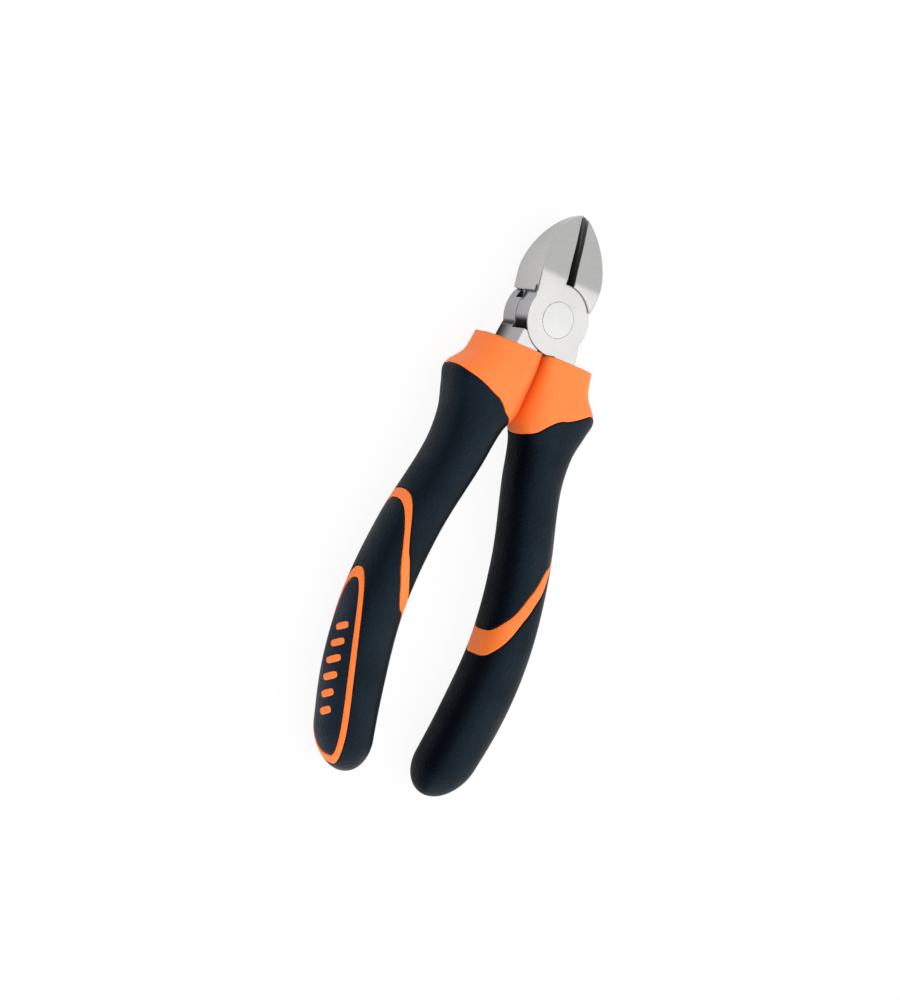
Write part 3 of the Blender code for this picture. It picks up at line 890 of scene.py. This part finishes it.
def steel_marked(mesh):
    """The half, marked on side walls left as forged, on the jaw's flank, which is painted lighter as
    painted light, on dark bevels with a painted glint, and with painted shade in its corners and recesses.
    """
    x, y, z = vertex_array(mesh, "co").T / MM
    lean_x, _, lean_z = vertex_array(mesh, "normal").T
    outward = z * np.sign(-x)
    upright = 1 - rise(np.abs(lean_z), 0.25, 0.4)
    wall = upright * fall(y, LEDGE_Y + 0.4, 0.8)
    # Painted light: the jaw's side wall is painted brighter, less so towards the tip.
    flank = upright * rise(y, LEDGE_Y, 0.8) * (1 - 0.7 * rise(y, 11.0, 14.0))
    bevel = rise(lean_x, 0.6, 0.2) * rise(y, LEDGE_Y, 1.0) * rise(x, -2.0, 0.5)
    # Painted shade: the steel is darkened on the neck by the collar, in the crease and notch by the
    # shoulder, in the relief pocket, in a line under the ledge and in a pit at the plateau's edge.
    neck = NECK_DARK * rise(z, -1.5, 7.0) * fall(y, -4.5, 1.0) * rise(x, 7.0, 1.0)
    crease = CREASE_DARK * near(x, y, CREASE_SPOT, 0.25, 1.1) * rise(x, 0.0, 1.0)
    notch = near(x, y, NOTCH_SPOT, 1.0, 3.2) * fall(x, 0.0, 1.0)
    relief = near(x, y, RELIEF_SPOT, 1.2, 2.9) * fall(y, LEDGE_Y + 0.3, 0.3)
    relief *= np.where(x > 0, fall(np.hypot(x, y), BOSS_RADIUS - 0.06, 0.25), 1.0)
    relief *= fall(outward, 2.2, 1.6) * rise(outward, -3.8, 1.0)
    line = LINE_DARK * fall(y, LEDGE_Y + 0.35, 0.2) * (1 - fall(y, LEDGE_Y - 0.2, 0.6))
    line *= fall(x, -6.0, 0.6) * rise(z, -1.0, 1.0)
    pit = PIT_DARK * near(x, y, PIT_SPOT, 0.5, 1.3) * rise(outward, HALF_THICKNESS - 1.6, 0.6)
    # All the painted shade of the corners and recesses, joined by the dark bevels below
    corners = np.maximum.reduce([neck, crease, notch, relief, line, pit]) * upright
    grime = np.maximum(corners, BEVEL_DARK * bevel)
    depth = jaw_half_thickness(y) - np.abs(z)
    # Painted glint: a bright line on the bevel, stronger towards the tip
    land = bevel * rise(y, 10.0, 15.0)
    return set_marks(mesh, wall=wall, flank=flank, grime=grime, depth=depth, land=land)


def turn_inward(mesh):
    """Degrees that each vertex looks away from the outer side of the handle, the same front and back."""
    lean_x, _, lean_z = vertex_array(mesh, "normal").T
    return np.degrees(np.arctan2(np.abs(lean_z), lean_x))


def collar_marked(mesh):
    """The sleeve, marked with painted shade along the collar's top edge and on the back of its side by the
    other collar.
    """
    x, y, z = vertex_array(mesh, "co").T / MM
    inner, outer = grip_edges(y)
    across = (2 * x - inner - outer) / (outer - inner)
    upward = z / grip_half_thickness(y)
    exponent = roundness(y, np.arctan2(upward, across))
    angle = np.arctan2(power(upward, exponent / 2), power(across, exponent / 2))
    size = (np.abs(across) ** exponent + np.abs(upward) ** exponent) ** (1 / exponent)
    # Painted shade: a brown line along the collar's top edge, where it meets the steel.
    edge = (1 - rise(MOUTH_Y - y - mouth(angle), 0.1, 0.5)) * rise(size, 0.945, 0.03)
    # Painted shade: the back of the collar's side, by the other collar, is painted deeper orange.
    side = COLLAR_SHADE * rise(turn_inward(mesh), 98.0, 38.0) * fall(z, 0.0, 2.0)
    side *= rise(y, MOUTH_Y - 0.18 * GRIP_LENGTH, 3.0)
    return set_marks(mesh, collar_edge=edge, collar_side=side)


def skin_marked(mesh):
    """The skin, marked on the side that looks at the other grip."""
    return set_marks(mesh, inner=rise(turn_inward(mesh), 112.0, 36.0))


# Shader nodes
def add(tree, kind, inputs=None, **settings):
    """New shader node with its settings, and its inputs set or linked by name or number."""
    made = tree.nodes.new(kind)
    for key, value in settings.items():
        setattr(made, key, value)
    for key, value in (inputs or {}).items():
        feed(tree, made.inputs[key], value)
    return made


def feed(tree, socket, value):
    if isinstance(value, bpy.types.NodeSocket):
        tree.links.new(value, socket)
    else:
        socket.default_value = value


def blank(name):
    material = bpy.data.materials.new(name)
    material.use_nodes = True
    tree = material.node_tree
    coords = add(tree, "ShaderNodeTexCoord").outputs["Object"]
    return material, tree, tree.nodes["Principled BSDF"], coords


def mark(tree, name):
    return add(tree, "ShaderNodeAttribute", None, attribute_name=name).outputs["Fac"]


def noise(tree, coords, scale, detail=3.0, stretch=(1, 1, 1)):
    """Noise whose main features measure about 1 / scale millimetres, drawn out along an axis."""
    squeezed = add(tree, "ShaderNodeMapping", {"Vector": coords, "Scale": stretch})
    inputs = {"Vector": squeezed.outputs[0], "Scale": scale / MM, "Detail": detail}
    return add(tree, "ShaderNodeTexNoise", inputs).outputs["Fac"]


def span(tree, value, low, high, start=0.3, finish=0.7):
    """low to high while a value goes from start to finish."""
    inputs = {"Value": value, "From Min": start, "From Max": finish, "To Min": low, "To Max": high}
    return add(tree, "ShaderNodeMapRange", inputs).outputs[0]


def blend(tree, share, first, second):
    """Mix of two colours, each a socket or three numbers."""
    made = add(tree, "ShaderNodeMix", None, data_type="RGBA")
    factor = [s for s in made.inputs if s.type == "VALUE"][0]
    colours = [s for s in made.inputs if s.type == "RGBA"]
    feed(tree, factor, share)
    for socket, colour in zip(colours, (first, second)):
        feed(tree, socket, (*colour, 1.0) if isinstance(colour, tuple) else colour)
    return [s for s in made.outputs if s.type == "RGBA"][0]


def tinted(colour, level):
    return tuple(level * c for c in colour)


def bump(tree, height, distance, strength, normal=None):
    inputs = {"Height": height, "Distance": distance * MM, "Strength": strength}
    if normal:
        inputs["Normal"] = normal
    return add(tree, "ShaderNodeBump", inputs).outputs[0]


def calc(tree, operation, first, second):
    return add(tree, "ShaderNodeMath", {0: first, 1: second}, operation=operation).outputs[0]


# Materials
STEEL_FACE = (0.434, 0.43, 0.427)
# Brighter steel for the painted light on the jaw's flank
STEEL_FLANK = (0.53, 0.525, 0.52)
STEEL_WALL = (0.43, 0.43, 0.452)
# Dark steel for the bevels and for the painted shade in corners and recesses
STEEL_DARK = (0.012, 0.013, 0.014)
STEEL_ROUGHNESS = 0.24
RIVET_FACE = (0.445, 0.442, 0.44)
RIVET_WALL = (0.4, 0.4, 0.41)
RIVET_ROUGHNESS = 0.22
ORANGE_DEEP = (0.96, 0.192, 0.026)
ORANGE_BRIGHT = (1.0, 0.216, 0.032)
ORANGE_GRAIN = (0.9, 0.18, 0.025)
# Deeper orange for the painted shade on the collar side
ORANGE_SIDE = (0.8, 0.1, 0.012)
# Brown for the painted shade along the collar's top edge
ORANGE_EDGE = (0.5, 0.17, 0.06)
BLACK_DEEP = (0.0012, 0.0018, 0.004)
BLACK_RUBBED = (0.002, 0.003, 0.006)
BLACK_GLOSS = (0.43, 0.74, 1.0, 1.0)
PAD_LIFT = 3.4


def steel(name, bright, side, dull, rough):
    """Ground steel: grinding lines, faint clouds, duller side walls, a jaw flank painted lighter as painted
    light, dark bevels with a painted glint line, and painted shade in corners and recesses.
    """
    material, tree, shader, coords = blank(name)
    lines = noise(tree, coords, 3.0, 4.0, (0.06, 1.0, 1.0))
    clouds = noise(tree, coords, 0.12, 2.0)
    wall = mark(tree, "wall")
    flank = mark(tree, "flank")
    depth = mark(tree, "depth")
    # Painted highlight: a line at a set depth on the bevel where the dark colour is taken off
    above = span(tree, depth, 0.0, 1.0, LAND_DEPTH - LAND_FADE, LAND_DEPTH)
    below = span(tree, depth, 1.0, 0.0, LAND_DEPTH, LAND_DEPTH + LAND_FADE)
    land = calc(tree, "MULTIPLY", mark(tree, "land"), calc(tree, "MULTIPLY", above, below))
    # Painted shade in corners and recesses, and the dark bevels, blend the colour towards the dark steel
    grime = calc(tree, "MULTIPLY", mark(tree, "grime"), calc(tree, "SUBTRACT", 1.0, land))
    colour = blend(tree, span(tree, lines, 0.0, 1.0), tinted(bright, 0.94), bright)
    colour = blend(tree, span(tree, clouds, 0.0, 0.25), colour, tinted(bright, 0.93))
    # Painted light: the jaw's flank takes the brighter side colour.
    colour = blend(tree, flank, colour, side)
    colour = blend(tree, wall, colour, dull)
    tree.links.new(blend(tree, grime, colour, STEEL_DARK), shader.inputs["Base Color"])
    shine = span(tree, lines, rough - 0.03, rough + 0.05)
    shine = calc(tree, "ADD", shine, span(tree, clouds, 0.0, 0.05))
    shine = calc(tree, "ADD", shine, calc(tree, "MULTIPLY", wall, 0.08))
    shine = calc(tree, "ADD", shine, calc(tree, "MULTIPLY", grime, 0.3))
    tree.links.new(shine, shader.inputs["Roughness"])
    shader.inputs["Metallic"].default_value = 1.0
    strength = span(tree, flank, 0.2, 0.07, 0.0, 1.0)
    tree.links.new(bump(tree, lines, 0.02, strength), shader.inputs["Normal"])
    return material


def orange_plastic():
    """Hard moulded plastic: faint satin grain, slight flow clouds, painted shade on the marked collar sides
    and along the collar's top edge.
    """
    material, tree, shader, coords = blank("orange_hard_plastic")
    grain = noise(tree, coords, 2.6, 3.0)
    clouds = noise(tree, coords, 0.1, 3.0)
    colour = blend(tree, span(tree, clouds, 0.0, 1.0), ORANGE_DEEP, ORANGE_BRIGHT)
    colour = blend(tree, span(tree, grain, 0.0, 0.2), colour, ORANGE_GRAIN)
    # Painted shade on the collar side by the other collar
    colour = blend(tree, mark(tree, "collar_side"), colour, ORANGE_SIDE)
    # Painted shade along the collar's top edge
    edge = span(tree, mark(tree, "collar_edge"), 0.0, 0.7, 0.0, 1.0)
    tree.links.new(blend(tree, edge, colour, ORANGE_EDGE), shader.inputs["Base Color"])
    tree.links.new(span(tree, grain, 0.4, 0.5), shader.inputs["Roughness"])
    shader.inputs["Specular IOR Level"].default_value = 0.35
    tree.links.new(bump(tree, grain, 0.03, 0.3), shader.inputs["Normal"])
    return material


def black_plastic(name, lift):
    """Soft overmould: fine stippled grain, with rubbed patches a little lighter, dull on the inner side."""
    material, tree, shader, coords = blank(name)
    inputs = {"Vector": coords, "Scale": 1.1 / MM, "Smoothness": 0.5}
    stipple = add(tree, "ShaderNodeTexVoronoi", inputs, feature="SMOOTH_F1").outputs["Distance"]
    grain = noise(tree, coords, 3.2, 3.0)
    rubbed = noise(tree, coords, 0.09, 3.0)
    dark = tinted(BLACK_DEEP, lift)
    colour = blend(tree, span(tree, rubbed, 0.0, 1.0), dark, tinted(BLACK_RUBBED, lift))
    colour = blend(tree, span(tree, grain, 0.0, 0.6), colour, tinted(dark, 0.5))
    tree.links.new(colour, shader.inputs["Base Color"])
    tree.links.new(span(tree, rubbed, 0.6, 0.4), shader.inputs["Roughness"])
    gloss = span(tree, mark(tree, "inner"), 0.22, 0.08, 0.0, 1.0)
    tree.links.new(gloss, shader.inputs["Specular IOR Level"])
    shader.inputs["Specular Tint"].default_value = BLACK_GLOSS
    rough = bump(tree, stipple, 0.1, 1.0)
    tree.links.new(bump(tree, grain, 0.02, 0.3, rough), shader.inputs["Normal"])
    return material


# Assembly
def add_piece(name, mesh, look, body, node, turned):
    """One piece on its body, on the front and right side as made or turned over to the rear and left."""
    obj = bpy.data.objects.new(name, mesh)
    bpy.context.scene.collection.objects.link(obj)
    mesh.materials.clear()
    mesh.materials.append(look)
    mesh.shade_smooth()
    mesh.set_sharp_from_angle(angle=SHARP_ANGLE)
    flip = Matrix.Rotation(math.pi if turned else 0.0, 4, "Y")
    obj.matrix_world = Matrix.Translation(PIVOT) @ flip
    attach(obj, body)
    if node:
        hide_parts(node)


def build_tool():
    ground = steel("ground_steel", STEEL_FACE, STEEL_FLANK, STEEL_WALL, STEEL_ROUGHNESS)
    pin = steel("rivet_steel", RIVET_FACE, RIVET_FACE, RIVET_WALL, RIVET_ROUGHNESS)
    orange = orange_plastic()
    black = black_plastic("black_soft_plastic", 1.0)
    pad_black = black_plastic("black_pad_plastic", PAD_LIFT)
    half = steel_marked(steel_half())
    add_piece("front_half_steel", half, ground, "front_arm", "front_half", False)
    add_piece("rear_half_steel", half.copy(), ground, "rear_arm", "rear_half", True)
    add_piece("rivet", rivet(), pin, "rear_arm", "pivot_rivet", False)
    for side, body, turned, back in (
        ("right", "front_arm", False, MEDALLION_BACK_ANGLE),
        ("left", "rear_arm", True, MEDALLION_LEFT_BACK_ANGLE),
    ):
        mouldings = [
            ("grip_sleeve", collar_marked(grip_core(back)), orange, "orange_hard_plastic", "grip_core"),
            ("upper_overmould", skin_marked(upper_skin()), black, "black_soft_plastic", "upper_skin"),
            ("lower_overmould", skin_marked(lower_skin(back)), black, "black_soft_plastic", "lower_skin"),
            ("pad", medallion_pad(back), pad_black, "black_soft_plastic", "medallion"),
            ("pad_bars", medallion_bars(), orange, "orange_hard_plastic", None),
        ]
        for name, mesh, look, slot, node in mouldings:
            target = f"{side}_{node}" if node else None
            add_piece(f"{side}_{name}", mesh, look, body, target, turned)


# Studio, in metres
FLOOR_HALF = 3.0
FLOOR_DROP = 0.0002
TABLE_TO_CAMERA = 0.92
TABLE_IN_MIRRORS = 0.5
ROOM_LEFT, ROOM_RIGHT = 1.4, 1.25
ROOM_NEAR, ROOM_FAR = 1.25, 0.75
FLAG_DIRECTION = (-0.85, 0.05, 0.52)
FLAG_LEVEL = 0.25
FLAG_OUTER_ANGLE = 42
FLAG_INNER_ANGLE = 18
KEY_DIRECTION = (0.56, -0.02, 0.83)
WHITE = (1, 1, 1, 1)


def floor():
    """White table that keeps a light shadow."""
    size = FLOOR_HALF
    corners = [(-size, -size, 0), (size, -size, 0), (size, size, 0), (-size, size, 0)]
    mesh = bpy.data.meshes.new("floor")
    mesh.from_pydata(corners, [], [(0, 1, 2, 3)])
    obj = bpy.data.objects.new("floor", mesh)
    bpy.context.scene.collection.objects.link(obj)
    obj.location.z = -FLOOR_DROP
    material = bpy.data.materials.new("white_table")
    material.use_nodes = True
    tree = material.node_tree
    tree.nodes.clear()
    path = add(tree, "ShaderNodeLightPath").outputs
    seen = calc(tree, "MAXIMUM", path["Is Camera Ray"], path["Is Transmission Ray"])
    seen = calc(tree, "MULTIPLY", seen, TABLE_TO_CAMERA)
    mirrored = calc(tree, "MULTIPLY", path["Is Glossy Ray"], TABLE_IN_MIRRORS)
    share = calc(tree, "MAXIMUM", seen, mirrored)
    matte = add(tree, "ShaderNodeBsdfDiffuse", {"Color": (0.9, 0.9, 0.9, 1)})
    glow = add(tree, "ShaderNodeEmission", {"Color": WHITE, "Strength": 1.0})
    mixed = add(tree, "ShaderNodeMixShader", {0: share, 1: matte.outputs[0], 2: glow.outputs[0]})
    add(tree, "ShaderNodeOutputMaterial", {"Surface": mixed.outputs[0]})
    mesh.materials.append(material)


def softbox(name, direction, distance, width, height, radiance):
    light = bpy.data.lights.new(name, "AREA")
    light.shape = "RECTANGLE"
    light.size = width
    light.size_y = height
    light.energy = math.pi * width * height * radiance
    obj = bpy.data.objects.new(name, light)
    bpy.context.scene.collection.objects.link(obj)
    towards = Vector(direction).normalized()
    obj.location = towards * distance
    obj.rotation_euler = towards.to_track_quat("Z", "Y").to_euler()


def facing(tree, way, direction, outer, inner):
    """1 for directions within an inner angle of one direction, 0 outside an outer angle."""
    towards = tuple(Vector(direction).normalized())
    dot = add(tree, "ShaderNodeVectorMath", {0: way, 1: towards}, operation="DOT_PRODUCT")
    start, finish = (math.cos(math.radians(a)) for a in (outer, inner))
    inputs = {"Value": dot.outputs["Value"], "From Min": start, "From Max": finish}
    return add(tree, "ShaderNodeMapRange", inputs, interpolation_type="SMOOTHSTEP").outputs[0]


def world():
    """White to the camera; to the object a room, darker on the far side, with a dark flag on the left."""
    made = bpy.data.worlds.new("studio")
    bpy.context.scene.world = made
    made.use_nodes = True
    tree = made.node_tree
    tree.nodes.clear()
    way = add(tree, "ShaderNodeTexCoord").outputs["Generated"]
    across, along, _ = add(tree, "ShaderNodeSeparateXYZ", {0: way}).outputs
    flag = facing(tree, way, FLAG_DIRECTION, FLAG_OUTER_ANGLE, FLAG_INNER_ANGLE)
    level = span(tree, across, ROOM_LEFT, ROOM_RIGHT, -1.0, 1.0)
    level = calc(tree, "MULTIPLY", level, span(tree, along, ROOM_NEAR, ROOM_FAR, -1.0, 1.0))
    level = calc(tree, "MULTIPLY", level, span(tree, flag, 1.0, FLAG_LEVEL, 0.0, 1.0))
    room = add(tree, "ShaderNodeBackground", {"Color": WHITE, "Strength": level})
    white = add(tree, "ShaderNodeBackground", {"Color": WHITE, "Strength": 1.0})
    seen = add(tree, "ShaderNodeLightPath").outputs["Is Camera Ray"]
    mixed = add(tree, "ShaderNodeMixShader", {0: seen, 1: room.outputs[0], 2: white.outputs[0]})
    add(tree, "ShaderNodeOutputWorld", {"Surface": mixed.outputs[0]})


def studio():
    floor()
    world()
    softbox("key", KEY_DIRECTION, distance=0.9, width=0.62, height=0.5, radiance=0.92)
    bpy.context.scene.view_settings.view_transform = "Standard"


# Camera of the photograph: offset from the pivot in millimetres, turns in degrees
CAMERA_OFFSET = Vector((-301.65, -80.76, 472.78))
CAMERA_TURN = (3.178, -31.688, 21.186)
CAMERA_LENS = 75.94


def camera():
    data = bpy.data.cameras.new("camera")
    data.lens = CAMERA_LENS
    data.sensor_width = 36.0
    data.clip_start = 0.01
    obj = bpy.data.objects.new("camera", data)
    bpy.context.scene.collection.objects.link(obj)
    obj.location = PIVOT + CAMERA_OFFSET * MM
    obj.rotation_mode = "ZYX"
    obj.rotation_euler = Euler([math.radians(a) for a in CAMERA_TURN], "ZYX")
    bpy.context.scene.camera = obj


build_tool()
studio()
camera()
